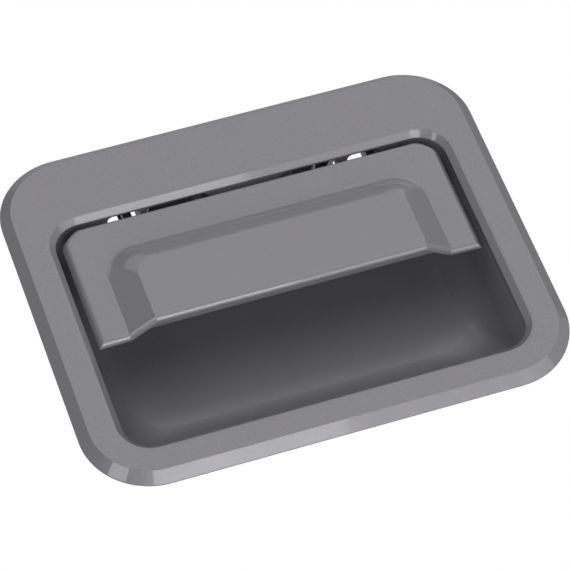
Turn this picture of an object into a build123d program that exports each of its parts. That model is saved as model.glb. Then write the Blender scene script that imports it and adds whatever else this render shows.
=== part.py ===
from build123d import *
import os
from math import acos, atan2, cos, hypot, radians, sin, sqrt, tan

# Recessed pull handle: a flanged cup, a hinged grip paddle that fills the upper half of its mouth,
# and the lever behind it that the paddle's arms push.
# X runs across the handle, +Y goes into the panel, +Z is up the panel.
# The origin is the middle of the flange, on the plane that seats against the panel.

# ---- driving dimensions, mm (angles in degrees) ----
FLANGE_WIDTH = 165.0
FLANGE_HEIGHT = 134.0
FLANGE_CORNER = 23.5
FLANGE_DEPTH = 3.6
FLANGE_EDGE = 0.4
BEVEL = 3.6
FLANGE_SKIN = 2.6
SEAT_RIM = 3.6

THROAT_HALF_WIDTH = 68.2
THROAT_TOP = 38.2
THROAT_BOTTOM = -52.9
THROAT_CORNER = 9.55
THROAT_DEPTH = 2.3
MOUTH_BEVEL = 2.0
MOUTH_SHOULDER = 1.3
MOUTH_SHOULDER_DEPTH = 0.28

CUP_DEPTH = 27.0
COLLAR_DEPTH = 2.2
LAND_DEPTH = 5.2
CUP_WALL = 2.6
FLAT_HALF_WIDTH = 56.5
FLAT_TOP = 34.2
FLAT_BOTTOM = -32.6
SIDE_SWEEP = 10.0
BOTTOM_SWEEP = 20.0
TOP_SWEEP = 4.0
CUP_LEVELS = (0, 0.22, 0.86, 1.9, 3.3, 5.0, 7.4, 10.0, 14.0, 18.0)

PADDLE_SINK = 0.7
PADDLE_THICKNESS = 2.7
PADDLE_HALF_WIDTH = 65.9
PADDLE_TOP = 36.9
PADDLE_CORNER = 7.4
PADDLE_DRAFT = 1.7
PADDLE_BOTTOM = -9.9
PADDLE_EDGE_FILLET = 0.7

GRIP_BASE_HALF_WIDTH = 55.45
GRIP_BASE_TOP = 24.5
GRIP_BASE_CORNER = 10.5
GRIP_FACE_HALF_WIDTH = 46.4
GRIP_FACE_TOP = 13.75
GRIP_FACE_CORNER = 1.45
GRIP_RISE = 6.2
GRIP_BLEND = 4.0
GRIP_ROOT = 0.3
GRIP_FOOT_STEPS = (0.3, 0.55, 0.8, 1)
GRIP_CREST_STEPS = (1, 0.7, 0.35, 0)
GRIP_ANGLE_RANGE = (20, 60)
GRIP_BLANK_BOTTOM = -40.0
GRIP_WALL = 2.9
HOLLOW_SIDE_INSET = 0.35
HOLLOW_TOP_INSET = 0.8
LIP_DEPTH = 5.35
EDGE_CUT_REACH = 68.0
LIP_HEIGHT = 3.5
LIP_CUT_HEIGHT = 11.5

PIVOT_Y = 4.4
PIVOT_Z = 48.0
ROD_RADIUS = 2.5
RUNNING_GAP = 0.04
KNUCKLE_RADIUS = 4.8

LUG_INNER = 34.4
LUG_OUTER = 48.0
LUG_THICKNESS = 2.0
LUG_RADIUS = 6.0
LUG_TOE = 3.0
WEB_BITE = 0.2
LUG_WALL_BITE = 1.0
WINDOW_INNER_EDGE = 13.0
WINDOW_FRONT = -0.6
WINDOW_BACK = 13.5
WINDOW_CORNER = 2.0
WINDOW_OVERCUT = 1.5
ARM_WIDTH = 3.0
ARM_OFFSET = 3.0
ARM_SPACING = 86.3
HOOK_CENTRE = 16.0
HOOK_WIDTH = 3.0
RIB_CENTRES = (-30.0, -10.0, 10.0, 30.0)
RIB_THICKNESS = 1.6
RIB_BITE = 0.3
RIB_BOTTOM = 1.0
RIB_TOP = 13.0
RIB_BACK = ((-4.6, 2.6), (-1.2, 12.0), (-1.2, 22.0))
GUSSET_THICKNESS = 2.0
BOTTOM_GUSSETS = (-42.0, 0.0, 42.0)
SIDE_GUSSETS = (-32.0, 0.0, 30.0)
# how far out the gussets stand on the flange's back, and their back corners on the cup's wall
BOTTOM_GUSSET_ROOT = (-62.5, -53.0)
BOTTOM_GUSSET_BACK = ((13.0, -50.0), (11.0, -54.0))
SIDE_GUSSET_ROOT = (78.0, 68.0)
SIDE_GUSSET_BACK = ((67.0, 13.0), (70.0, 12.0))

STUD_X = 75.0
STUD_Z = 45.0
STUD_RADIUS = 2.5
STUD_LENGTH = 11.0
STUD_HEAD_FLATS = 7.0
STUD_HEAD_HEIGHT = 1.6
STUD_PAD_RADIUS = 5.2
STUD_PAD_RECESS = 0.3
STUD_NECK_RADIUS = 3.0
STUD_HEAD_Y = -0.8
STUD_CHAMFER = 0.6

BUMPER_X = 56.0
BUMPER_Z = 29.5
BUMPER_POST_RADIUS = 4.5
BUMPER_POST_TIP = 3.2
BUMPER_HEAD_RADIUS = 3.8
BUMPER_STEM_RADIUS = 1.8
BUMPER_STEM_LENGTH = 5.0
BUMPER_GAP = 0.1
BUMPER_CROWN = 2.6
BUMPER_CROWN_DEPTH = 1.0

LEVER_SHEET = 2.0
LEVER_WEB_Y = 10.0
LEVER_WEB_BOTTOM = -1.0
LEVER_WEB_TOP = 12.0
LEVER_WING_BOTTOM = 3.8
LEVER_WING_TOP = 9.6
LEVER_HALF_WIDTH = 33.9
LEVER_WING_HALF_WIDTH = 47.8
LEVER_GAP = 0.3
LEVER_CORNER = 0.8
LEVER_WING_CORNER = 1.5
LEVER_FOLD = 1.6
EAR_ROOT_HEIGHT = 4.8
BEAD_LENGTH = 34.0
BEAD_WIDTH = 4.0
BEAD_DEPTH = 0.8
TAB_X = 25.0
TAB_WIDTH = 12.0
TAB_REACH = 23.0
TAB_HOLE_Y = 18.0
TAB_HOLE_RADIUS = 3.5
ROD_CLIP_BORE = 2.0
ROD_CLIP_RIM = 4.9
ROD_CLIP_BARB = 4.1
ROD_CLIP_TIP = 3.4
ROD_CLIP_HEAD = 1.6
ROD_CLIP_BARB_HEIGHT = 0.4
ROD_CLIP_TAIL = 1.8
ROD_CLIP_ARM = (4.0, 6.0)
ROD_CLIP_ARM_OFFSET = 5.5
ROD_CLIP_GATE = (6.4, 5.0)
ROD_CLIP_GATE_OFFSET = 8.0
ROD_CLIP_SEAT_RADIUS = 1.9
ROD_CLIP_SEAT_OFFSET = 1.2
ROD_CLIP_SLOT = (2.8, 3.0)
ROD_CLIP_SLOT_OFFSET = 2.6

ROD_HALF_LENGTH = 52.8
ROD_CHAMFER = 0.5
CLIP_X = 50.4
CLIP_THICKNESS = 0.8
CLIP_GROOVE_RADIUS = 2.0
CLIP_OUTER_RADIUS = 4.8
CLIP_RING_WIDTH = 1.5
CLIP_LOBE_WIDTH = 2.0
CLIP_MOUTH = 3.2

WIRE_RADIUS = 0.6
COIL_RADIUS = 3.4
COIL_PITCH = 1.3
PADDLE_TURNS = 2.5
LEVER_TURNS = 3
LEG_OVERLAP = 0.4
SPRING_X = -46.05
LEVER_SPRING_X = 23.0
SPRING_REST_Y = -4.75
SPRING_REST_Z = -4.6
ARM_LEG = (0.95, -8.0)
LEVER_LEG_REACH = 1.2
LEVER_LEG_DROP = 0.7

# outlines of the paddle's arms and hooks, as (Y, Z) about the pivot
ARM_FRONT = ((-4.9, -12.6), (-0.4, -12.3), (1.6, -11.0), (1.6, -2.0), (0, 4.0))
ARM_BACK = ((7.6, 1.5), (7.6, -9.5), (3.6, -16.0), (-4.9, -22.0))
HOOK_FRONT = ((-4.9, -12.6), (-0.5, -12.3), (1.0, -11.1), (-2.2, -5.6), (0.6, -4.2))
HOOK_BACK = ((5.4, -9.4), (3.0, -15.0), (-4.9, -20.0))
HORN_ROOT = (3.0, 8.5)
HORN_FOOT = 4.2

# ---- worked out from the driving dimensions ----
FACE_Y = -FLANGE_DEPTH
FLANGE_BACK_Y = FACE_Y + FLANGE_SKIN
WEB_ROOT_Y = FLANGE_BACK_Y - WEB_BITE
COLLAR_Y = FACE_Y + COLLAR_DEPTH
LAND_Y = FACE_Y + LAND_DEPTH
FLOOR_Y = FACE_Y + CUP_DEPTH
BACK_Y = FLOOR_Y + CUP_WALL
PADDLE_FRONT_Y = FACE_Y + PADDLE_SINK
PADDLE_BACK_Y = PADDLE_FRONT_Y + PADDLE_THICKNESS
GRIP_FACE_Y = PADDLE_FRONT_Y - GRIP_RISE
WALL_TOP = THROAT_TOP + CUP_WALL
ARM_CENTRES = (ARM_OFFSET - ARM_SPACING / 2, ARM_OFFSET + ARM_SPACING / 2)
HORN = (HORN_ROOT, (LEVER_WEB_Y - LEVER_GAP, HORN_ROOT[1]), (LEVER_WEB_Y - LEVER_GAP, HORN_FOOT))
STUD_PLACES = [(x, z) for x in (-STUD_X, STUD_X) for z in (STUD_Z, -STUD_Z)]
STUD_NAMES = ("upper_left", "lower_left", "upper_right", "lower_right")

os.makedirs("parts", exist_ok=True)


def panel_plane(y):
    """Plane parallel to the panel at depth y; its sketches are drawn as seen from the front."""
    return Plane.XZ.offset(-y)


def side_plane(x):
    """Plane across the pivot at x, with the pivot as its origin and (Y, Z) as its axes."""
    return Plane(origin=(x, PIVOT_Y, PIVOT_Z), x_dir=(0, 1, 0), z_dir=(1, 0, 0))


def outline(y, half_width, top, bottom, corner):
    """Rounded outline about the handle's middle line at depth y."""
    with BuildSketch(panel_plane(y)) as drawn:
        with Locations((0, (top + bottom) / 2)):
            RectangleRounded(2 * half_width, top - bottom, corner)
    return drawn.sketch


def swept_wall(level, flat, rim, sweep, rise):
    """Reach of a wall that curves up off the flat floor and then runs straight to the throat."""
    lean = atan2(rise - sweep, rim - flat) - acos(sweep / hypot(rim - flat, rise - sweep))
    if level <= sweep * (1 + sin(lean)):
        return flat + sqrt(sweep ** 2 - (sweep - level) ** 2)
    curve_end = flat + sweep * cos(lean)
    straight = (level - sweep * (1 + sin(lean))) / (rise - sweep * (1 + sin(lean)))
    return curve_end + straight * (rim - curve_end)


def cup_sections(wall):
    """Outlines of the cup from its floor to its throat, grown outwards by a wall thickness."""
    rise = FLOOR_Y + wall - LAND_Y
    sections = []
    for level in (*CUP_LEVELS, rise):
        sections.append(outline(
            FLOOR_Y + wall - level,
            swept_wall(level, FLAT_HALF_WIDTH, THROAT_HALF_WIDTH + wall, SIDE_SWEEP + wall, rise),
            swept_wall(level, FLAT_TOP, THROAT_TOP + wall, TOP_SWEEP + wall, rise),
            -swept_wall(level, -FLAT_BOTTOM, wall - THROAT_BOTTOM, BOTTOM_SWEEP + wall, rise),
            THROAT_CORNER + wall,
        ))
    return sections


def mouth_stages():
    """Pairs of outlines that the rolled shoulder and the bevel of the mouth run between."""
    def grown(spread, depth):
        return outline(FACE_Y + depth, THROAT_HALF_WIDTH + spread, THROAT_TOP + spread,
                       THROAT_BOTTOM - spread, THROAT_CORNER + spread)
    half_roll = (MOUTH_BEVEL + MOUTH_SHOULDER / 2, MOUTH_SHOULDER_DEPTH / 4)
    stages = ((MOUTH_BEVEL + MOUTH_SHOULDER, 0), half_roll, (MOUTH_BEVEL, MOUTH_SHOULDER_DEPTH),
              (0, THROAT_DEPTH))
    return [[grown(*start), grown(*end)] for start, end in zip(stages, stages[1:])]


def finish(piece, name):
    """Label a finished piece and write its file."""
    piece.part.label = name
    export_step(piece.part, f"parts/{name}.step")


# ---- housing: flange and cup, one moulding ----

# outer skin of the cup, from the flange's throat to the back of the floor
with BuildPart() as cup_skin:
    collar = outline(
        COLLAR_Y, THROAT_HALF_WIDTH + CUP_WALL, WALL_TOP,
        THROAT_BOTTOM - CUP_WALL, THROAT_CORNER + CUP_WALL,
    )
    extrude(collar, amount=COLLAR_Y - LAND_Y)
    loft(cup_sections(CUP_WALL))

# posts that carry the paddle's bumpers, standing on the floor and the sloping side walls
with BuildPart() as bumper_posts:
    with BuildSketch(panel_plane(BUMPER_POST_TIP)):
        with Locations((-BUMPER_X, BUMPER_Z), (BUMPER_X, BUMPER_Z)):
            Circle(BUMPER_POST_RADIUS)
    extrude(amount=BUMPER_POST_TIP - BACK_Y)
    add(cup_skin.part, mode=Mode.INTERSECT)

with BuildPart() as housing:
    # flange with a bevelled rim; a seat rim stands proud of its back
    extrude(outline(0, FLANGE_WIDTH / 2, FLANGE_HEIGHT / 2, -FLANGE_HEIGHT / 2, FLANGE_CORNER),
            amount=FLANGE_EDGE)
    loft([
        outline(-FLANGE_EDGE, FLANGE_WIDTH / 2, FLANGE_HEIGHT / 2, -FLANGE_HEIGHT / 2, FLANGE_CORNER),
        outline(FACE_Y, FLANGE_WIDTH / 2 - BEVEL, FLANGE_HEIGHT / 2 - BEVEL,
                BEVEL - FLANGE_HEIGHT / 2, FLANGE_CORNER - BEVEL),
    ])
    extrude(outline(0, FLANGE_WIDTH / 2 - SEAT_RIM, FLANGE_HEIGHT / 2 - SEAT_RIM,
                    SEAT_RIM - FLANGE_HEIGHT / 2, FLANGE_CORNER - SEAT_RIM),
            amount=-FLANGE_BACK_Y, mode=Mode.SUBTRACT)
    add(cup_skin.part)

    # pads round the studs, just below the seat rim
    with BuildSketch(panel_plane(-STUD_PAD_RECESS)):
        with Locations(*STUD_PLACES):
            Circle(STUD_PAD_RADIUS)
    extrude(amount=FLANGE_SKIN / 2)

    # lugs that carry the hinge rod, standing on the cup's top wall behind the flange
    for lug_start in (-LUG_OUTER - LUG_THICKNESS, -LUG_INNER - LUG_THICKNESS,
                      LUG_INNER, LUG_OUTER):
        with BuildSketch(side_plane(lug_start)):
            Circle(LUG_RADIUS)
            with BuildLine():
                Polyline(
                    (WEB_ROOT_Y - PIVOT_Y, WALL_TOP - LUG_WALL_BITE - PIVOT_Z),
                    (LUG_RADIUS, WALL_TOP - LUG_WALL_BITE - PIVOT_Z),
                    (LUG_RADIUS, 0),
                    (0, LUG_RADIUS),
                    (WEB_ROOT_Y - PIVOT_Y, LUG_RADIUS + LUG_TOE),
                    close=True,
                )
            make_face()
        extrude(amount=LUG_THICKNESS)

    # gussets between the flange and the cup's bottom and side walls
    for gusset_x in BOTTOM_GUSSETS:
        with BuildSketch(Plane.YZ.offset(gusset_x - GUSSET_THICKNESS / 2)):
            with BuildLine():
                Polyline(*[(WEB_ROOT_Y, z) for z in BOTTOM_GUSSET_ROOT], *BOTTOM_GUSSET_BACK, close=True)
            make_face()
        extrude(amount=GUSSET_THICKNESS)
    for side in (-1, 1):
        for gusset_z in SIDE_GUSSETS:
            with BuildSketch(Plane.XY.offset(gusset_z - GUSSET_THICKNESS / 2)):
                with BuildLine():
                    Polyline(*[(side * x, WEB_ROOT_Y) for x in SIDE_GUSSET_ROOT],
                             *[(side * x, y) for x, y in SIDE_GUSSET_BACK], close=True)
                make_face()
            extrude(amount=GUSSET_THICKNESS)

    # the hollow: softly rolled shoulder and bevelled mouth, straight throat, then walls that sweep in
    for stage in mouth_stages():
        loft(stage, mode=Mode.SUBTRACT)
    extrude(outline(FACE_Y, THROAT_HALF_WIDTH, THROAT_TOP, THROAT_BOTTOM, THROAT_CORNER),
            amount=-LAND_DEPTH, mode=Mode.SUBTRACT)
    loft(cup_sections(0), mode=Mode.SUBTRACT)

    # bumper posts with blind holes for the bumper stems
    add(bumper_posts.part)
    with BuildSketch(panel_plane(BUMPER_POST_TIP)):
        with Locations((-BUMPER_X, BUMPER_Z), (BUMPER_X, BUMPER_Z)):
            Circle(BUMPER_STEM_RADIUS)
    extrude(amount=-BUMPER_STEM_LENGTH, mode=Mode.SUBTRACT)

    # windows through the top wall for the paddle's arms and hooks
    with BuildSketch(Plane.XY.offset(THROAT_TOP - WINDOW_OVERCUT)):
        for side in (-1, 1):
            for near, far in ((WINDOW_INNER_EDGE, LUG_INNER), (LUG_INNER + LUG_THICKNESS, LUG_OUTER)):
                with Locations((side * (near + far) / 2, (WINDOW_FRONT + WINDOW_BACK) / 2)):
                    RectangleRounded(far - near, WINDOW_BACK - WINDOW_FRONT, WINDOW_CORNER)
    extrude(amount=CUP_WALL + 2 * WINDOW_OVERCUT, mode=Mode.SUBTRACT)

    # rod bore through the lugs
    with BuildSketch(side_plane(-ROD_HALF_LENGTH)):
        Circle(ROD_RADIUS + RUNNING_GAP)
    extrude(amount=2 * ROD_HALF_LENGTH, mode=Mode.SUBTRACT)

    # pockets for the moulded-in stud heads
    with BuildSketch(panel_plane(STUD_HEAD_Y)):
        with Locations(*STUD_PLACES):
            RegularPolygon(STUD_HEAD_FLATS / 2, 6, major_radius=False)
    extrude(amount=STUD_HEAD_HEIGHT, mode=Mode.SUBTRACT)
    with BuildSketch(panel_plane(STUD_HEAD_Y)):
        with Locations(*STUD_PLACES):
            Circle(STUD_NECK_RADIUS)
    extrude(amount=STUD_HEAD_Y + STUD_PAD_RECESS, mode=Mode.SUBTRACT)
finish(housing, "housing")


# ---- mounting studs, moulded into the flange ----
for stud_name, place in zip(STUD_NAMES, STUD_PLACES):
    with BuildPart() as stud:
        with BuildSketch(panel_plane(STUD_HEAD_Y)):
            with Locations(place):
                RegularPolygon(STUD_HEAD_FLATS / 2, 6, major_radius=False)
        extrude(amount=STUD_HEAD_HEIGHT)
        with BuildSketch(panel_plane(STUD_HEAD_Y)):
            with Locations(place):
                Circle(STUD_NECK_RADIUS)
        extrude(amount=STUD_HEAD_Y + STUD_PAD_RECESS)
        with BuildSketch(panel_plane(-STUD_PAD_RECESS)):
            with Locations(place):
                Circle(STUD_RADIUS)
        extrude(amount=-STUD_LENGTH - STUD_PAD_RECESS)
        chamfer(stud.edges().group_by(Axis.Y)[-1], STUD_CHAMFER)
    finish(stud, f"stud_{stud_name}")


# ---- paddle: plate, raised grip, hinge arms and stop hooks, one moulding ----

def blend_profile():
    """Rise and inset of the grip's top slope: concave arc, straight slope, convex arc."""
    run = GRIP_BASE_TOP - GRIP_FACE_TOP
    low, high = (radians(limit) for limit in GRIP_ANGLE_RANGE)
    for _ in range(60):
        angle = (low + high) / 2
        reach = GRIP_RISE / tan(angle) + 2 * GRIP_BLEND * tan(angle / 2)
        low, high = (angle, high) if reach > run else (low, angle)
    foot = [(GRIP_BLEND * (1 - cos(angle * s)), GRIP_BLEND * sin(angle * s)) for s in GRIP_FOOT_STEPS]
    crest = [(GRIP_RISE - GRIP_BLEND * (1 - cos(angle * s)), run - GRIP_BLEND * sin(angle * s))
             for s in GRIP_CREST_STEPS]
    foot_rise, foot_inset = foot[0]
    root = (-GRIP_ROOT, foot_inset - (foot_rise + GRIP_ROOT) / tan(angle * GRIP_FOOT_STEPS[0]))
    return [root, *foot, *crest]


def grip_section(rise, top_inset):
    """Outline of the grip at a height above the plate; the sides slope evenly, the top by its blend."""
    share = rise / GRIP_RISE
    half_width = GRIP_BASE_HALF_WIDTH + share * (GRIP_FACE_HALF_WIDTH - GRIP_BASE_HALF_WIDTH)
    corner = GRIP_BASE_CORNER + share * (GRIP_FACE_CORNER - GRIP_BASE_CORNER)
    return outline(PADDLE_FRONT_Y - rise, half_width, GRIP_BASE_TOP - top_inset, GRIP_BLANK_BOTTOM, corner)


with BuildPart() as grip:
    loft([grip_section(rise, inset) for rise, inset in blend_profile()])

# hollow behind the grip, under a wall of even thickness
SLOPE_RUN = (GRIP_BASE_HALF_WIDTH - GRIP_FACE_HALF_WIDTH) / GRIP_RISE
HOLLOW_HALF_WIDTH = GRIP_BASE_HALF_WIDTH - HOLLOW_SIDE_INSET
HOLLOW_BOTTOM = PADDLE_BOTTOM + LIP_HEIGHT
HOLLOW_FRONT_Y = GRIP_FACE_Y + GRIP_WALL
with BuildPart() as grip_hollow:
    loft([
        outline(PADDLE_BACK_Y, HOLLOW_HALF_WIDTH, GRIP_BASE_TOP - HOLLOW_TOP_INSET,
                HOLLOW_BOTTOM, GRIP_BASE_CORNER - HOLLOW_SIDE_INSET),
        outline(HOLLOW_FRONT_Y, HOLLOW_HALF_WIDTH - (PADDLE_BACK_Y - HOLLOW_FRONT_Y) * SLOPE_RUN,
                GRIP_FACE_TOP + HOLLOW_SIDE_INSET, HOLLOW_BOTTOM, GRIP_FACE_CORNER),
    ])

with BuildPart() as paddle:
    loft([
        outline(PADDLE_BACK_Y, PADDLE_HALF_WIDTH, PADDLE_TOP, GRIP_BLANK_BOTTOM, PADDLE_CORNER),
        outline(PADDLE_FRONT_Y, PADDLE_HALF_WIDTH - PADDLE_DRAFT, PADDLE_TOP - PADDLE_DRAFT,
                GRIP_BLANK_BOTTOM, PADDLE_CORNER - PADDLE_DRAFT),
    ])
    plate_rim = paddle.faces().sort_by(Axis.Y)[0].edges().filter_by(
        lambda edge: edge.center().Z > (GRIP_BLANK_BOTTOM + PADDLE_BOTTOM) / 2)
    fillet(plate_rim, PADDLE_EDGE_FILLET)
    add(grip.part)
    split(bisect_by=Plane.XY.offset(PADDLE_BOTTOM), keep=Keep.TOP)
    add(grip_hollow.part, mode=Mode.SUBTRACT)

    # finger lip: a shallower mouth under the grip, so that its lower edge is deep
    lip_y = GRIP_FACE_Y + LIP_DEPTH
    lip_half_width = HOLLOW_HALF_WIDTH - (PADDLE_BACK_Y - lip_y) * SLOPE_RUN
    with BuildSketch(Plane.XY.offset(PADDLE_BOTTOM)):
        with BuildLine():
            Polyline((-HOLLOW_HALF_WIDTH, PADDLE_BACK_Y),
                     (-lip_half_width, lip_y), (lip_half_width, lip_y),
                     (HOLLOW_HALF_WIDTH, PADDLE_BACK_Y), close=True)
        make_face()
    extrude(amount=LIP_CUT_HEIGHT, mode=Mode.SUBTRACT)

    # lower front edge rounded along the plate, the slopes and the grip
    with BuildLine(Plane.XY.offset(PADDLE_BOTTOM)) as lower_front:
        Polyline((-EDGE_CUT_REACH, PADDLE_FRONT_Y), (-GRIP_BASE_HALF_WIDTH, PADDLE_FRONT_Y),
                 (-GRIP_FACE_HALF_WIDTH, GRIP_FACE_Y), (GRIP_FACE_HALF_WIDTH, GRIP_FACE_Y),
                 (GRIP_BASE_HALF_WIDTH, PADDLE_FRONT_Y), (EDGE_CUT_REACH, PADDLE_FRONT_Y))
    edge_plane = Plane(origin=(-EDGE_CUT_REACH, PADDLE_FRONT_Y, PADDLE_BOTTOM), x_dir=(0, 1, 0),
                       z_dir=(1, 0, 0))
    with BuildSketch(edge_plane):
        with Locations((PADDLE_EDGE_FILLET, PADDLE_EDGE_FILLET)):
            Rectangle(2 * PADDLE_EDGE_FILLET, 2 * PADDLE_EDGE_FILLET, align=(Align.MAX, Align.MAX))
            Circle(PADDLE_EDGE_FILLET, mode=Mode.SUBTRACT)
    sweep(path=lower_front.line, transition=Transition.RIGHT, mode=Mode.SUBTRACT)

    # low ribs inside the grip
    for rib_x in RIB_CENTRES:
        with BuildSketch(Plane.YZ.offset(rib_x - RIB_THICKNESS / 2)):
            with BuildLine():
                Polyline((HOLLOW_FRONT_Y - RIB_BITE, RIB_BOTTOM), *RIB_BACK,
                         (HOLLOW_FRONT_Y - RIB_BITE, RIB_TOP), close=True)
            make_face()
        extrude(amount=RIB_THICKNESS)

    # hinge arms: swan necks from the plate, round the window's front edge, to the knuckle and horn
    for arm_x in ARM_CENTRES:
        with BuildSketch(side_plane(arm_x - ARM_WIDTH / 2)):
            with BuildLine():
                Polyline(*ARM_FRONT, *HORN, *ARM_BACK, close=True)
            make_face()
            Circle(KNUCKLE_RADIUS)
            Circle(ROD_RADIUS + RUNNING_GAP, mode=Mode.SUBTRACT)
        extrude(amount=ARM_WIDTH)

    # stop hooks: their front faces meet the back of the flange when the paddle is fully open
    for hook_x in (-HOOK_CENTRE, HOOK_CENTRE):
        with BuildSketch(side_plane(hook_x - HOOK_WIDTH / 2)):
            with BuildLine():
                Polyline(*HOOK_FRONT, *HOOK_BACK, close=True)
            make_face()
        extrude(amount=HOOK_WIDTH)
finish(paddle, "paddle")


# ---- hinge rod and its retaining clips ----
with BuildPart() as hinge_rod:
    with BuildSketch(side_plane(-ROD_HALF_LENGTH)):
        Circle(ROD_RADIUS)
    extrude(amount=2 * ROD_HALF_LENGTH)
    chamfer(hinge_rod.edges(), ROD_CHAMFER)
    for groove_x in (-CLIP_X - CLIP_THICKNESS, CLIP_X):
        with BuildSketch(side_plane(groove_x)):
            Circle(2 * ROD_RADIUS)
            Circle(CLIP_GROOVE_RADIUS, mode=Mode.SUBTRACT)
        extrude(amount=CLIP_THICKNESS, mode=Mode.SUBTRACT)
finish(hinge_rod, "hinge_rod")

for side_name, clip_start in (("left", -CLIP_X - CLIP_THICKNESS), ("right", CLIP_X)):
    with BuildPart() as clip:
        with BuildSketch(side_plane(clip_start)):
            Circle(CLIP_OUTER_RADIUS)
            Circle(CLIP_OUTER_RADIUS - CLIP_RING_WIDTH, mode=Mode.SUBTRACT)
            with PolarLocations(CLIP_OUTER_RADIUS - CLIP_RING_WIDTH, 3, start_angle=90):
                Rectangle(CLIP_OUTER_RADIUS - CLIP_GROOVE_RADIUS, CLIP_LOBE_WIDTH)
            Circle(CLIP_GROOVE_RADIUS, mode=Mode.SUBTRACT)
            with Locations((0, -CLIP_OUTER_RADIUS)):
                Rectangle(CLIP_MOUTH, CLIP_OUTER_RADIUS, mode=Mode.SUBTRACT)
        extrude(amount=CLIP_THICKNESS)
    finish(clip, f"retaining_clip_{side_name}")


# ---- torsion springs round the hinge rod ----

def spring_leg(start, end):
    """Straight leg of spring wire between two points given as X and (Y, Z) about the pivot."""
    leg_start = Vector(start[0], PIVOT_Y + start[1], PIVOT_Z + start[2])
    leg_end = Vector(end[0], PIVOT_Y + end[1], PIVOT_Z + end[2])
    with BuildPart() as leg:
        with BuildSketch(Plane(origin=leg_start, z_dir=leg_end - leg_start)):
            Circle(WIRE_RADIUS)
        extrude(amount=(leg_end - leg_start).length)
        with Locations(leg_end):
            Sphere(WIRE_RADIUS)
    return leg.part


def torsion_spring(start_x, start_side, turns, left_handed, legs, name):
    """Coil from start_x towards +X whose wire starts on start_side of the pivot, with straight legs."""
    coil_plane = Plane(origin=(start_x, PIVOT_Y, PIVOT_Z), x_dir=start_side, z_dir=(1, 0, 0))
    coil = Helix(COIL_PITCH, COIL_PITCH * turns, COIL_RADIUS, lefthand=left_handed)
    coil = coil.moved(coil_plane.location)
    with BuildPart() as spring:
        with BuildSketch(Plane(origin=coil @ 0, z_dir=coil % 0)):
            Circle(WIRE_RADIUS)
        sweep(path=coil, is_frenet=True)
        for start, end in legs:
            add(spring_leg(start, end))
    finish(spring, name)


# closes the paddle: one leg on the flange's back, the other bent across the front of the left arm
spring_end = SPRING_X + PADDLE_TURNS * COIL_PITCH
torsion_spring(
    SPRING_X, (0, -1, 0), PADDLE_TURNS, True,
    [
        ((SPRING_X, -COIL_RADIUS, LEG_OVERLAP), (SPRING_X, SPRING_REST_Y, SPRING_REST_Z)),
        ((spring_end, COIL_RADIUS, LEG_OVERLAP), (spring_end, *ARM_LEG)),
        ((spring_end, *ARM_LEG), (ARM_CENTRES[0], *ARM_LEG)),
    ],
    "paddle_spring",
)
# returns the release lever: one leg on the flange's back, the other under the lever's web
lever_spring_end = LEVER_SPRING_X + LEVER_TURNS * COIL_PITCH
torsion_spring(
    LEVER_SPRING_X, (0, 0, -1), LEVER_TURNS, False,
    [
        ((LEVER_SPRING_X, LEG_OVERLAP, -COIL_RADIUS), (LEVER_SPRING_X, SPRING_REST_Y, SPRING_REST_Z)),
        ((lever_spring_end, -LEG_OVERLAP, -COIL_RADIUS),
         (lever_spring_end, LEVER_WEB_Y + LEVER_LEG_REACH, LEVER_WEB_BOTTOM - LEVER_LEG_DROP)),
    ],
    "lever_spring",
)


# ---- release lever: folded sheet steel on the hinge rod, pushed by the paddle's horns ----
with BuildPart() as release_lever:
    web_plane = Plane(origin=(0, PIVOT_Y + LEVER_WEB_Y, PIVOT_Z), x_dir=(1, 0, 0), z_dir=(0, -1, 0))
    with BuildSketch(web_plane):
        with Locations((0, (LEVER_WEB_BOTTOM + LEVER_WEB_TOP) / 2)):
            RectangleRounded(2 * LEVER_HALF_WIDTH, LEVER_WEB_TOP - LEVER_WEB_BOTTOM, LEVER_CORNER)
        with Locations((0, (LEVER_WING_BOTTOM + LEVER_WING_TOP) / 2)):
            RectangleRounded(2 * LEVER_WING_HALF_WIDTH, LEVER_WING_TOP - LEVER_WING_BOTTOM,
                             LEVER_WING_CORNER)
    extrude(amount=-LEVER_SHEET)
    # ears on the rod
    for ear_start in (-LEVER_HALF_WIDTH, LEVER_HALF_WIDTH - LEVER_SHEET):
        with BuildSketch(side_plane(ear_start)):
            Circle(KNUCKLE_RADIUS)
            with Locations((LEVER_WEB_Y + LEVER_SHEET / 2, LEVER_WEB_BOTTOM)):
                Rectangle(LEVER_SHEET, EAR_ROOT_HEIGHT, align=(Align.CENTER, Align.MIN))
            make_hull()
            Circle(ROD_RADIUS + RUNNING_GAP, mode=Mode.SUBTRACT)
        extrude(amount=LEVER_SHEET)
    # tabs for the latch rods, folded back from the top of the web
    with BuildSketch(Plane.XY.offset(PIVOT_Z + LEVER_WEB_TOP)):
        with Locations(*[(x, PIVOT_Y + (LEVER_WEB_Y + TAB_REACH) / 2) for x in (-TAB_X, TAB_X)]):
            RectangleRounded(TAB_WIDTH, TAB_REACH - LEVER_WEB_Y, LEVER_CORNER)
        with Locations(*[(x, PIVOT_Y + TAB_HOLE_Y) for x in (-TAB_X, TAB_X)]):
            Circle(TAB_HOLE_RADIUS, mode=Mode.SUBTRACT)
    extrude(amount=-LEVER_SHEET)
    fold_line = release_lever.edges().filter_by(Axis.X).sort_by_distance(
        (0, PIVOT_Y + LEVER_WEB_Y, PIVOT_Z + LEVER_WEB_TOP))[0:1]
    fillet(fold_line, LEVER_FOLD)
    # stiffening bead pressed in the middle of the web
    with BuildSketch(web_plane):
        with Locations((0, (LEVER_WEB_BOTTOM + LEVER_WEB_TOP) / 2)):
            SlotOverall(BEAD_LENGTH, BEAD_WIDTH)
    extrude(amount=-BEAD_DEPTH, mode=Mode.SUBTRACT)
finish(release_lever, "release_lever")


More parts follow.
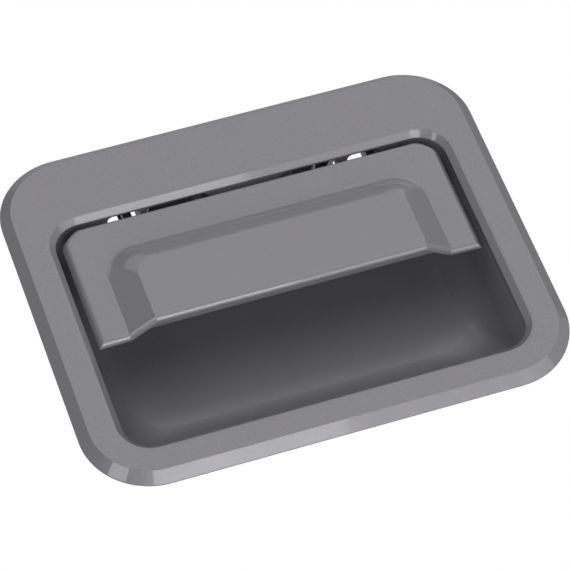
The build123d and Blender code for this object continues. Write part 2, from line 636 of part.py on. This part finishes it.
# ---- plastic clips that hold the latch rods in the lever's tabs ----
for side_name, clip_x in (("left", -TAB_X), ("right", TAB_X)):
    hole = Vector(clip_x, PIVOT_Y + TAB_HOLE_Y, PIVOT_Z + LEVER_WEB_TOP)
    with BuildPart() as rod_clip:
        # barbed bush through the tab's hole
        with BuildSketch(Plane(origin=hole, x_dir=(1, 0, 0), z_dir=(0, -1, 0))):
            with BuildLine():
                Polyline(
                    (ROD_CLIP_BORE, ROD_CLIP_HEAD),
                    (ROD_CLIP_RIM, ROD_CLIP_HEAD),
                    (ROD_CLIP_RIM, 0),
                    (TAB_HOLE_RADIUS, 0),
                    (TAB_HOLE_RADIUS, -LEVER_SHEET),
                    (ROD_CLIP_BARB, -LEVER_SHEET - ROD_CLIP_BARB_HEIGHT),
                    (ROD_CLIP_TIP, -LEVER_SHEET - ROD_CLIP_TAIL),
                    (ROD_CLIP_BORE, -LEVER_SHEET - ROD_CLIP_TAIL),
                    close=True,
                )
            make_face()
        revolve(axis=Axis(hole, (0, 0, 1)))
        # gate that snaps over the rod
        with BuildSketch(Plane(origin=hole + Vector(0, ROD_CLIP_ARM_OFFSET, 0))):
            Rectangle(*ROD_CLIP_ARM)
        extrude(amount=ROD_CLIP_HEAD)
        with BuildSketch(Plane(origin=hole + Vector(0, ROD_CLIP_GATE_OFFSET, 0))):
            Rectangle(*ROD_CLIP_GATE)
            with Locations((0, ROD_CLIP_SEAT_OFFSET)):
                Circle(ROD_CLIP_SEAT_RADIUS, mode=Mode.SUBTRACT)
            with Locations((0, ROD_CLIP_SLOT_OFFSET)):
                Rectangle(*ROD_CLIP_SLOT, mode=Mode.SUBTRACT)
        extrude(amount=ROD_CLIP_GATE[1])
    finish(rod_clip, f"latch_rod_clip_{side_name}")


# ---- rubber bumpers that the closed paddle rests on ----
crown_y = PADDLE_BACK_Y + BUMPER_GAP
stem_y = BUMPER_POST_TIP + BUMPER_STEM_LENGTH
for side_name, bumper_x in (("left", -BUMPER_X), ("right", BUMPER_X)):
    with BuildPart() as bumper:
        with BuildSketch(Plane(origin=(bumper_x, 0, BUMPER_Z))):
            with BuildLine():
                Polyline(
                    (0, crown_y),
                    (BUMPER_CROWN, crown_y),
                    (BUMPER_HEAD_RADIUS, crown_y + BUMPER_CROWN_DEPTH),
                    (BUMPER_HEAD_RADIUS, BUMPER_POST_TIP),
                    (BUMPER_STEM_RADIUS, BUMPER_POST_TIP),
                    (BUMPER_STEM_RADIUS, stem_y),
                    (0, stem_y),
                    close=True,
                )
            make_face()
        revolve(axis=Axis((bumper_x, 0, BUMPER_Z), (0, 1, 0)))
    finish(bumper, f"bumper_{side_name}")
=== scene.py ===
import math

import bpy
from mathutils import Matrix, Vector


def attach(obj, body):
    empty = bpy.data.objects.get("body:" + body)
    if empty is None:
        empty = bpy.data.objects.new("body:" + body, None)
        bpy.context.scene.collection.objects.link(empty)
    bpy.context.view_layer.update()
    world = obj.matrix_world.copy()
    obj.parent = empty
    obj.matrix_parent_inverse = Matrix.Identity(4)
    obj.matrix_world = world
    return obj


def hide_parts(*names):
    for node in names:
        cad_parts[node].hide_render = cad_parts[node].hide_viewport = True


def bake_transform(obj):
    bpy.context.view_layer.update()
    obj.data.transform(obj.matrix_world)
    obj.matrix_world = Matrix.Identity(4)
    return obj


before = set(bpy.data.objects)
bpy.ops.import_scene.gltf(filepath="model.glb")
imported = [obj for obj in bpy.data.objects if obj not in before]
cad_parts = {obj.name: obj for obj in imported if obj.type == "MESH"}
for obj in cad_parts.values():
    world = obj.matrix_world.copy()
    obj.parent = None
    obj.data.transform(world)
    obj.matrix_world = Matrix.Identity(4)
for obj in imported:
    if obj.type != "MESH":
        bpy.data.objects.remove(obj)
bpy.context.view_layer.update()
scene = bpy.context.scene

# Recessed pull handle: camera, light, finishes, and the pieces that the CAD model leaves to the scene.
# Metres. X runs across the handle, +Y goes into the panel, +Z is up the panel.

# ---- camera and light ----
CAMERA_PLACE = Vector((-0.2161, -0.8680, -0.5964))
CAMERA_RIGHT = Vector((0.9465, -0.0154, -0.3224))
CAMERA_UP = Vector((0.2526, -0.5865, 0.7695))
LENS = 207.1                # mm
SENSOR = 36.0               # mm
FAR_CLIP = 50
LAMP_DISTANCE = 1.6
FLOOR_Z = -1.8
FLOOR_SIZE = 12
FLOOR_GLOW = 0.45           # seen by the camera only, so that it doesn't light the handle
FILL = 0.216                # brightness of the world, where the camera doesn't see it

# name, direction from the object, width, height, brightness of the lamp's surface
LAMPS = (
    ("low", (0.100, -0.600, -0.790), 1.10, 0.70, 0.58),
    ("low_right", (0.620, -0.500, -0.600), 0.80, 0.70, 1.22),
    ("left_small", (-0.748, -0.532, -0.398), 0.35, 0.50, 3.10),
    ("under", (0.000, -0.050, -1.000), 1.60, 0.90, 1.16),
    ("front", (0.150, -0.850, 0.500), 3.20, 3.20, 0.61),
    ("front_low", (-0.100, -1.000, -0.100), 1.60, 1.20, 0.09),
    ("upper_right", (0.750, -0.350, 0.560), 1.40, 1.40, 0.09),
    ("upper_left", (-0.800, -0.350, 0.500), 1.40, 1.40, 0.08),
    ("behind_top", (0.050, 0.500, 0.860), 1.60, 1.20, 0.12),
    ("right", (0.980, 0.100, -0.100), 1.60, 1.60, 0.30),
    ("strip_low", (0.000, -0.600, -0.800), 0.66, 0.34, 2.58),
    ("low_mid", (0.000, -0.360, -0.930), 0.66, 0.34, 4.93),
    ("low_left", (-0.400, -0.560, -0.720), 0.50, 0.40, 0.02),
    ("back", (0.350, 1.000, 0.350), 1.80, 1.20, 0.80),
)

# ---- paddle: sizes of the CAD's, named so, and of the fuller and rounder one that is seen ----
TOUCH = 1e-5                # points closer than this lie together
PLATE_FRONT_Y = -0.0029
PLATE_DEPTH = 0.0027
PLATE_HALF_WIDTH = 0.0642
PLATE_TOP = 0.0352
PLATE_CORNER = 0.0057
SIDE_DRAFT = 0.63           # how far the plate's side leans outward for each metre of depth

CAD_RIM = 0.0007            # radius of the front rim
CAD_RIM_DEPTH = 0.00033     # how deep behind the front the CAD's rim ends
RIM = 0.0019
RIM_TANGENT = 0.554         # how far inside the outline a rim of radius 1 starts
RIM_INSIDE = 0.0005         # points of the rim lie from here inside the side's slope
RIM_OUTSIDE = 0.00015       # to here outside it
RIM_DROP = 0.0003           # how much lower the top edge is in front
BACK_RIM_DROP = 0.0006      # and at the back
CORNER_EASE = 0.0006        # how far the upper corners stand inside the CAD's

ROLL_TOP = -0.0092          # the CAD's lower edge rolls back from here
CAD_ROLL = 0.0007           # radius of the roll
ROLL = 0.0021
ROLL_DROP = 0.0004          # how much lower the deeper roll starts
BACK_DROP = 0.0009          # how much lower the back of the edge is
ROLL_REACH = 0.0002         # the back of the edge begins this far behind the CAD's roll
MITRE = 0.31                # sideways share of the roll's shift where it turns along the grip's sides

GRIP_RISE = 0.0062          # how far the grip's face stands in front of the plate
GRIP_BASE_X = 0.05545       # half widths of the grip at its foot and at its face
GRIP_FACE_X = 0.0464
GRIP_BASE_TOP = 0.0245
CAD_GRIP_CORNER = 0.0105    # corner of the CAD's grip at its foot
GRIP_BASE_CORNER = 0.0108
GRIP_FACE_CORNER = 0.0060
PLATE_END_X = GRIP_BASE_X + 0.004   # the lower edge's ends lie outside this
TUCK = 0.0006               # the grip's first ring is tucked in this far outside its foot
TUCK_DEPTH = 0.00002        # and this far behind the plate's front
SIDE_FOOT = 0.0004          # radius of the bend at the foot of the grip's sides
SIDE_CREST = 0.0005         # and at their crest
BEND_SHARES = (0.02, 0.05, 0.09)    # rises of the rings in those bends, as shares of the radius
# how steep the grip's top is at each distance inside its foot, before it is scaled to the rise
TOP_SLOPES = ((0.0, 0.0), (0.0042, 1.05), (0.0068, 0.44), (0.0113, 0.37), (0.0121, 0.0))
TOP_STEPS = 7
ARC_STEPS = 20
FRONT_TILT = -0.02          # a face whose normal has a lower Y than this faces the front
DOWN_TILT = -0.99           # and one with a lower Z than this faces straight down
FACING = Vector((0, -1, 0))

# ---- springs: a span along X for each coil ----
PADDLE_COIL = (-0.0454, -0.0434)
LEVER_COIL = (0.0237, 0.0262)

# ---- paint: depths between which its coat turns from glossy to dull ----
DULLING = (0.001, 0.006)


# ---- node helpers ----

def new_material(name):
    """Empty node material; returns the material, its nodes, a link function and the shader."""
    material = bpy.data.materials.new(name)
    material.use_nodes = True
    tree = material.node_tree
    return material, tree.nodes, tree.links.new, tree.nodes["Principled BSDF"]


def object_place(nodes):
    """Coordinates on the object, in metres."""
    return nodes.new("ShaderNodeTexCoord").outputs["Object"]


def noise(nodes, link, source, scale, detail):
    """Noise texture at the source's coordinates."""
    texture = nodes.new("ShaderNodeTexNoise")
    texture.inputs["Scale"].default_value = scale
    texture.inputs["Detail"].default_value = detail
    link(source, texture.inputs["Vector"])
    return texture.outputs["Fac"]


def ramp(nodes, link, source, span, results):
    """Value mapped from the span to the two results."""
    mapped = nodes.new("ShaderNodeMapRange")
    for socket, value in zip(("From Min", "From Max", "To Min", "To Max"), (*span, *results)):
        mapped.inputs[socket].default_value = value
    link(source, mapped.inputs["Value"])
    return mapped.outputs["Result"]


def between(nodes, link, factor, dark, light):
    """Colour between two others."""
    tint = nodes.new("ShaderNodeMix")
    tint.data_type = "RGBA"
    tint.inputs["A"].default_value = (*dark, 1)
    tint.inputs["B"].default_value = (*light, 1)
    link(factor, tint.inputs["Factor"])
    return tint.outputs["Result"]


def bumped(nodes, link, height, strength, distance):
    """Bump node raised by a height."""
    bump = nodes.new("ShaderNodeBump")
    bump.inputs["Strength"].default_value = strength
    bump.inputs["Distance"].default_value = distance
    link(height, bump.inputs["Height"])
    return bump


# ---- finishes ----

def coated_paint():
    """Metallic grey paint: fine flake under a clear coat, which is duller inside the cup and behind."""
    material, nodes, link, shader = new_material("coated_paint")
    place = object_place(nodes)
    flake = noise(nodes, link, place, scale=3200, detail=2)
    mottle = noise(nodes, link, place, scale=60, detail=3)
    speck = ramp(nodes, link, flake, (0.35, 0.65), (0.0, 1.0))
    tint = between(nodes, link, speck, dark=(0.246, 0.239, 0.258), light=(0.286, 0.278, 0.299))
    depth = nodes.new("ShaderNodeSeparateXYZ")
    link(place, depth.inputs["Vector"])
    dull = ramp(nodes, link, depth.outputs["Y"], DULLING, (0.04, 0.2))
    soft = nodes.new("ShaderNodeBevel")
    soft.samples = 6
    soft.inputs["Radius"].default_value = 0.0004
    bump = bumped(nodes, link, flake, strength=0.04, distance=0.00005)
    link(soft.outputs["Normal"], bump.inputs["Normal"])
    shader.inputs["Metallic"].default_value = 0.35
    shader.inputs["Coat Weight"].default_value = 1.0
    link(tint, shader.inputs["Base Color"])
    link(ramp(nodes, link, mottle, (0.3, 0.7), (0.42, 0.50)), shader.inputs["Roughness"])
    link(dull, shader.inputs["Coat Roughness"])
    link(bump.outputs["Normal"], shader.inputs["Normal"])
    link(soft.outputs["Normal"], shader.inputs["Coat Normal"])
    return material


def metal(name, color, roughness, grain):
    """Bare or plated metal with a fine brushed grain along X."""
    material, nodes, link, shader = new_material(name)
    stretch = nodes.new("ShaderNodeMapping")
    stretch.inputs["Scale"].default_value = (60, 900, 900)
    link(object_place(nodes), stretch.inputs["Vector"])
    streak = noise(nodes, link, stretch.outputs["Vector"], scale=3, detail=4)
    dark = [c * (1 - grain) for c in color]
    light = [min(1, c * (1 + grain)) for c in color]
    sheen = ramp(nodes, link, streak, (0.3, 0.7), (roughness * 0.8, roughness * 1.25))
    shader.inputs["Metallic"].default_value = 1.0
    link(between(nodes, link, streak, dark, light), shader.inputs["Base Color"])
    link(sheen, shader.inputs["Roughness"])
    return material


def plastic(name, color, roughness):
    """Moulded or painted surface with a faint grain."""
    material, nodes, link, shader = new_material(name)
    grain = noise(nodes, link, object_place(nodes), scale=900, detail=3)
    dark = [c * 0.85 for c in color]
    light = [min(1, c * 1.15) for c in color]
    sheen = ramp(nodes, link, grain, (0.3, 0.7), (roughness * 0.85, roughness * 1.15))
    bump = bumped(nodes, link, grain, strength=0.4, distance=0.00008)
    link(between(nodes, link, grain, dark, light), shader.inputs["Base Color"])
    link(sheen, shader.inputs["Roughness"])
    link(bump.outputs["Normal"], shader.inputs["Normal"])
    return material


def dress(node, material):
    """Gives a CAD node its finished material."""
    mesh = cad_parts[node].data
    mesh.materials.clear()
    mesh.materials.append(material)


# ---- paddle: lower edge and rim, moved from the CAD's points ----

def front_y(x):
    """Depth of the paddle's front at its lower edge: plate, sloping side of the grip, or grip face."""
    share = (GRIP_BASE_X - abs(x)) / (GRIP_BASE_X - GRIP_FACE_X)
    return PLATE_FRONT_Y - GRIP_RISE * min(1.0, max(0.0, share))


def from_outline(place):
    """Distance outside the plate's front outline, and the outward direction there as X and Z."""
    across, above = abs(place.x) - PLATE_HALF_WIDTH, place.z - PLATE_TOP
    side = math.copysign(1, place.x)
    if across > -PLATE_CORNER and above > -PLATE_CORNER:
        reach = math.hypot(across + PLATE_CORNER, above + PLATE_CORNER)
        sideways, upward = side * (across + PLATE_CORNER) / reach, (above + PLATE_CORNER) / reach
        return reach - PLATE_CORNER, sideways, upward
    return (across, side, 0) if across > above else (above, 0, 1)


def rim_shift(place):
    """How far a point of the CAD plate's rim or side moves: a rounder front edge, and a lower top."""
    sink = place.y - PLATE_FRONT_Y
    outside, sideways, upward = from_outline(place)
    off_wall = outside - SIDE_DRAFT * sink
    on_rim = -TOUCH < sink < CAD_RIM_DEPTH and -RIM_INSIDE < off_wall < RIM_OUTSIDE
    on_wall = CAD_RIM_DEPTH <= sink < PLATE_DEPTH + TOUCH and abs(off_wall) < RIM_OUTSIDE
    if not on_rim and not on_wall:
        return Vector()
    # the corners are eased most where they face outward at 45 degrees
    ease = CORNER_EASE * (2 * abs(sideways) * max(0.0, upward)) ** 1.5
    turn = math.acos(1 - min(max(0.0, sink), CAD_RIM_DEPTH) / CAD_RIM)
    outward = (RIM - CAD_RIM) * (math.sin(turn) - RIM_TANGENT) - ease
    deeper = (RIM - CAD_RIM) * (1 - math.cos(turn))
    front = Vector((outward * sideways, deeper, (outward - RIM_DROP) * upward))
    back = Vector((-ease * sideways, 0, -(ease + BACK_RIM_DROP) * upward))
    return front.lerp(back, max(0.0, (sink - CAD_RIM_DEPTH) / (PLATE_DEPTH - CAD_RIM_DEPTH)))


def rolled(place):
    """Where a point of the CAD paddle's lower edge lies on the deeper and rounder edge."""
    sunk = min(1.0, (ROLL_TOP - place.z) / CAD_ROLL)
    if place.y > front_y(place.x) + CAD_ROLL + ROLL_REACH:
        return Vector((place.x, place.y, place.z - BACK_DROP))
    shift = (ROLL - CAD_ROLL) * (1 - math.sqrt(max(0.0, 1 - sunk * sunk)))
    lean = SIDE_DRAFT if abs(place.x) > PLATE_END_X else -MITRE
    sideways = shift * lean * math.copysign(1, place.x)
    return Vector((place.x + sideways, place.y + shift, ROLL_TOP - ROLL_DROP - ROLL * sunk))


# ---- paddle: front of the grip, in rings from its foot to its face ----

def side_angle():
    """Steepness of the grip's sides at which both bends and the straight slope fit their run."""
    low, high = 0.1, 1.5
    for _ in range(40):
        angle = (low + high) / 2
        reach = GRIP_RISE / math.tan(angle) + (SIDE_FOOT + SIDE_CREST) * math.tan(angle / 2)
        low, high = (angle, high) if reach > GRIP_BASE_X - GRIP_FACE_X else (low, angle)
    return angle


def side_inset(angle, rise):
    """How far inside its foot the grip's side stands at a rise: hollow bend, slope, round bend."""
    bend, below = 1 - math.cos(angle), GRIP_RISE - rise
    if rise < SIDE_FOOT * bend:
        return SIDE_FOOT * math.sin(math.acos(1 - rise / SIDE_FOOT))
    if below < SIDE_CREST * bend:
        crest = SIDE_CREST * math.sin(math.acos(min(1.0, 1 - below / SIDE_CREST)))
        return GRIP_BASE_X - GRIP_FACE_X - crest
    return SIDE_FOOT * math.sin(angle) + (rise - SIDE_FOOT * bend) / math.tan(angle)


def top_profile():
    """Insets and rises of the grip's top slope, added up from its steepness."""
    profile, rise = [(0.0, 0.0)], 0.0
    for (start, steep), (end, next_steep) in zip(TOP_SLOPES, TOP_SLOPES[1:]):
        for step in range(TOP_STEPS):
            middle = steep + (next_steep - steep) * (step + 0.5) / TOP_STEPS
            rise += middle * (end - start) / TOP_STEPS
            profile.append((start + (end - start) * (step + 1) / TOP_STEPS, rise))
    return [(inset, height * GRIP_RISE / rise) for inset, height in profile]


def top_inset(profile, rise):
    """Inset of the top slope at a rise."""
    for (near, low), (far, high) in zip(profile, profile[1:]):
        if rise <= high:
            return near + (far - near) * (rise - low) / (high - low)
    return profile[-1][0]


def grip_ring(half_width, top, corner, rise):
    """Open outline of the grip at a rise: up the left side, over the top and down the right."""
    ring = [(-half_width, ROLL_TOP - ROLL_DROP), (-half_width, 0.0)]
    for side in (-1, 1):
        for step in range(ARC_STEPS + 1):
            turn = math.pi / 2 * step / ARC_STEPS
            turn = turn if side < 0 else math.pi / 2 - turn
            ring.append((side * (half_width - corner + corner * math.cos(turn)),
                         top - corner + corner * math.sin(turn)))
    ring += [(half_width, 0.0), (half_width, ROLL_TOP - ROLL_DROP)]
    return [Vector((x, PLATE_FRONT_Y - rise, z)) for x, z in ring]


def grip_rings():
    """Outlines of the grip from its foot to its face."""
    profile, angle = top_profile(), side_angle()
    rises = {round(rise, 8) for _, rise in profile[:-1]} | {GRIP_RISE}
    for share in BEND_SHARES:
        rises |= {SIDE_FOOT * share, GRIP_RISE - SIDE_CREST * share}
    rings = [grip_ring(GRIP_BASE_X + TUCK, GRIP_BASE_TOP + TUCK, CAD_GRIP_CORNER + TUCK, -TUCK_DEPTH)]
    for rise in sorted(rises):
        half_width = GRIP_BASE_X - side_inset(angle, rise)
        top = GRIP_BASE_TOP - top_inset(profile, rise)
        corner = GRIP_BASE_CORNER + rise / GRIP_RISE * (GRIP_FACE_CORNER - GRIP_BASE_CORNER)
        rings.append(grip_ring(half_width, top, corner, rise))
    return rings


def add_grip(places, faces, normals):
    """Adds the grip's front, with its normals, to the lists of a mesh."""
    rings = grip_rings()
    start, width, last = len(places), len(rings[0]), len(rings) - 1
    quads = [((row + 1, col), (row + 1, col + 1), (row, col + 1), (row, col))
             for row in range(last) for col in range(width - 1)]
    bends = [[Vector() for _ in ring] for ring in rings]
    for spots in quads:
        a, b, c, d = (rings[i][j] for i, j in spots)
        for i, j in spots:
            bends[i][j] += (c - a).cross(d - b).normalized()
    for i, ring in enumerate(rings):
        flat = i < 2 or i == last
        places += ring
        bends[i] = [FACING if flat else bend.normalized() for bend in bends[i]]
    for spots in quads:
        faces.append([start + i * width + j for i, j in spots])
        normals += [bends[i][j] for i, j in spots]
    faces.append([start + last * width + j for j in reversed(range(width))])
    normals += [FACING] * width


def on_cad_grip(spots, face):
    """Whether a face is on the front of the CAD's grip, above the lower edge's roll."""
    front = max(spot.y for spot in spots) < PLATE_FRONT_Y + TOUCH and face.normal.y < FRONT_TILT
    raised = min(spot.y for spot in spots) < PLATE_FRONT_Y - TOUCH
    return front and raised and min(spot.z for spot in spots) > ROLL_TOP - TOUCH


def on_underside(spots, bends):
    """Whether a face is on the flat underside of the CAD's lower edge."""
    low = max(spot.z for spot in spots) < ROLL_TOP - CAD_ROLL / 2
    return low and all(bend.z < DOWN_TILT for bend in bends)


def add_paddle():
    """Paddle with a lower edge 1.8 mm deeper in a 2.1 mm roll, a rounder rim and a rounder grip."""
    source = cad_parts["paddle"].data
    points = [vertex.co.copy() for vertex in source.vertices]
    faces, normals = [], []
    for face in source.polygons:
        spots = [points[i] for i in face.vertices]
        bends = [source.corner_normals[i].vector.copy() for i in face.loop_indices]
        if on_cad_grip(spots, face):
            continue
        if on_underside(spots, bends):
            a, b, c = (rolled(spot) for spot in spots[:3])
            bends = [(b - a).cross(c - a).normalized()] * len(spots)
        faces.append(list(face.vertices))
        normals += bends
    places = [(rolled(point) if point.z < ROLL_TOP + TOUCH else point) + rim_shift(point)
              for point in points]
    add_grip(places, faces, normals)
    mesh = bpy.data.meshes.new("paddle_shell")
    mesh.from_pydata(places, [], faces, shade_flat=False)
    mesh.normals_split_custom_set(normals)
    mesh.materials.append(source.materials[0])
    shell = bpy.data.objects.new("paddle_shell", mesh)
    scene.collection.objects.link(shell)
    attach(shell, "paddle_body")
    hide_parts("paddle")


# ---- springs ----

def add_spring(node, body, start_x, end_x):
    """Torsion spring from the housing to a moving body, as a copy of its CAD mesh that stays where it
    stands; the CAD node is hidden.
    """
    wire = bpy.data.objects.new(node + "_wire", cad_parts[node].data.copy())
    scene.collection.objects.link(wire)
    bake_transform(wire)
    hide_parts(node)


# ---- surroundings ----

def add_camera():
    """Camera at the photograph's viewing angle."""
    data = bpy.data.cameras.new("camera")
    data.lens = LENS
    data.sensor_width = SENSOR
    data.clip_end = FAR_CLIP
    camera = bpy.data.objects.new("camera", data)
    back = CAMERA_RIGHT.cross(CAMERA_UP).normalized()
    right = CAMERA_RIGHT.normalized()
    up = back.cross(right)
    turn = Matrix((right, up, back)).transposed()
    camera.matrix_world = Matrix.Translation(CAMERA_PLACE) @ turn.to_4x4()
    scene.collection.objects.link(camera)
    scene.camera = camera


def add_lamp(name, direction, width, height, radiance):
    """Rectangular soft light in a direction from the object."""
    data = bpy.data.lights.new(name, "AREA")
    data.shape = "RECTANGLE"
    data.size = width
    data.size_y = height
    data.energy = radiance * math.pi * width * height
    lamp = bpy.data.objects.new(name, data)
    away = Vector(direction).normalized()
    lamp.rotation_euler = away.to_track_quat("Z", "Y").to_euler()
    lamp.location = away * LAMP_DISTANCE
    scene.collection.objects.link(lamp)


def add_floor():
    """Plain pale floor well below the handle."""
    bpy.ops.mesh.primitive_plane_add(size=FLOOR_SIZE, location=(0, 0, FLOOR_Z))
    floor = bpy.context.object
    floor.name = "floor"
    material, nodes, link, shader = new_material("pale_floor")
    shader.inputs["Base Color"].default_value = (0.82, 0.82, 0.82, 1)
    shader.inputs["Roughness"].default_value = 0.9
    shader.inputs["Emission Color"].default_value = (1, 1, 1, 1)
    path = nodes.new("ShaderNodeLightPath")
    glow = ramp(nodes, link, path.outputs["Is Camera Ray"], (0.0, 1.0), (0.0, FLOOR_GLOW))
    link(glow, shader.inputs["Emission Strength"])
    floor.data.materials.append(material)


def add_world():
    """Soft even world, white where the camera sees it."""
    world = bpy.data.worlds.new("studio")
    scene.world = world
    world.use_nodes = True
    nodes, link = world.node_tree.nodes, world.node_tree.links.new
    path = nodes.new("ShaderNodeLightPath")
    fill = nodes["Background"]
    fill.inputs["Color"].default_value = (FILL, FILL, FILL, 1)
    white = nodes.new("ShaderNodeBackground")
    white.inputs["Color"].default_value = (1, 1, 1, 1)
    mix = nodes.new("ShaderNodeMixShader")
    link(path.outputs["Is Camera Ray"], mix.inputs["Fac"])
    link(fill.outputs["Background"], mix.inputs[1])
    link(white.outputs["Background"], mix.inputs[2])
    link(mix.outputs["Shader"], nodes["World Output"].inputs["Surface"])


# ---- the scene ----
add_camera()

PAINT = coated_paint()
ZINC = metal("zinc_plate", color=(0.62, 0.62, 0.58), roughness=0.32, grain=0.12)
ROD = metal("drawn_steel", color=(0.56, 0.56, 0.56), roughness=0.25, grain=0.08)
WIRE = metal("spring_steel", color=(0.33, 0.33, 0.35), roughness=0.3, grain=0.1)
LEVER = plastic("black_coat", color=(0.022, 0.022, 0.024), roughness=0.38)
NYLON = plastic("natural_nylon", color=(0.72, 0.69, 0.62), roughness=0.45)
RUBBER = plastic("rubber", color=(0.02, 0.02, 0.02), roughness=0.75)
FINISHES = (
    (PAINT, ("housing", "paddle")),
    (ZINC, ("stud_upper_left", "stud_lower_left", "stud_upper_right", "stud_lower_right")),
    (ROD, ("hinge_rod",)),
    (WIRE, ("retaining_clip_left", "retaining_clip_right", "paddle_spring", "lever_spring")),
    (LEVER, ("release_lever",)),
    (NYLON, ("latch_rod_clip_left", "latch_rod_clip_right")),
    (RUBBER, ("bumper_left", "bumper_right")),
)
for finish, nodes in FINISHES:
    for node in nodes:
        dress(node, finish)

add_paddle()
add_spring("paddle_spring", "paddle_body", *PADDLE_COIL)
add_spring("lever_spring", "lever_body", *LEVER_COIL)

add_floor()
add_world()
for lamp in LAMPS:
    add_lamp(*lamp)
scene.view_settings.view_transform = "Standard"
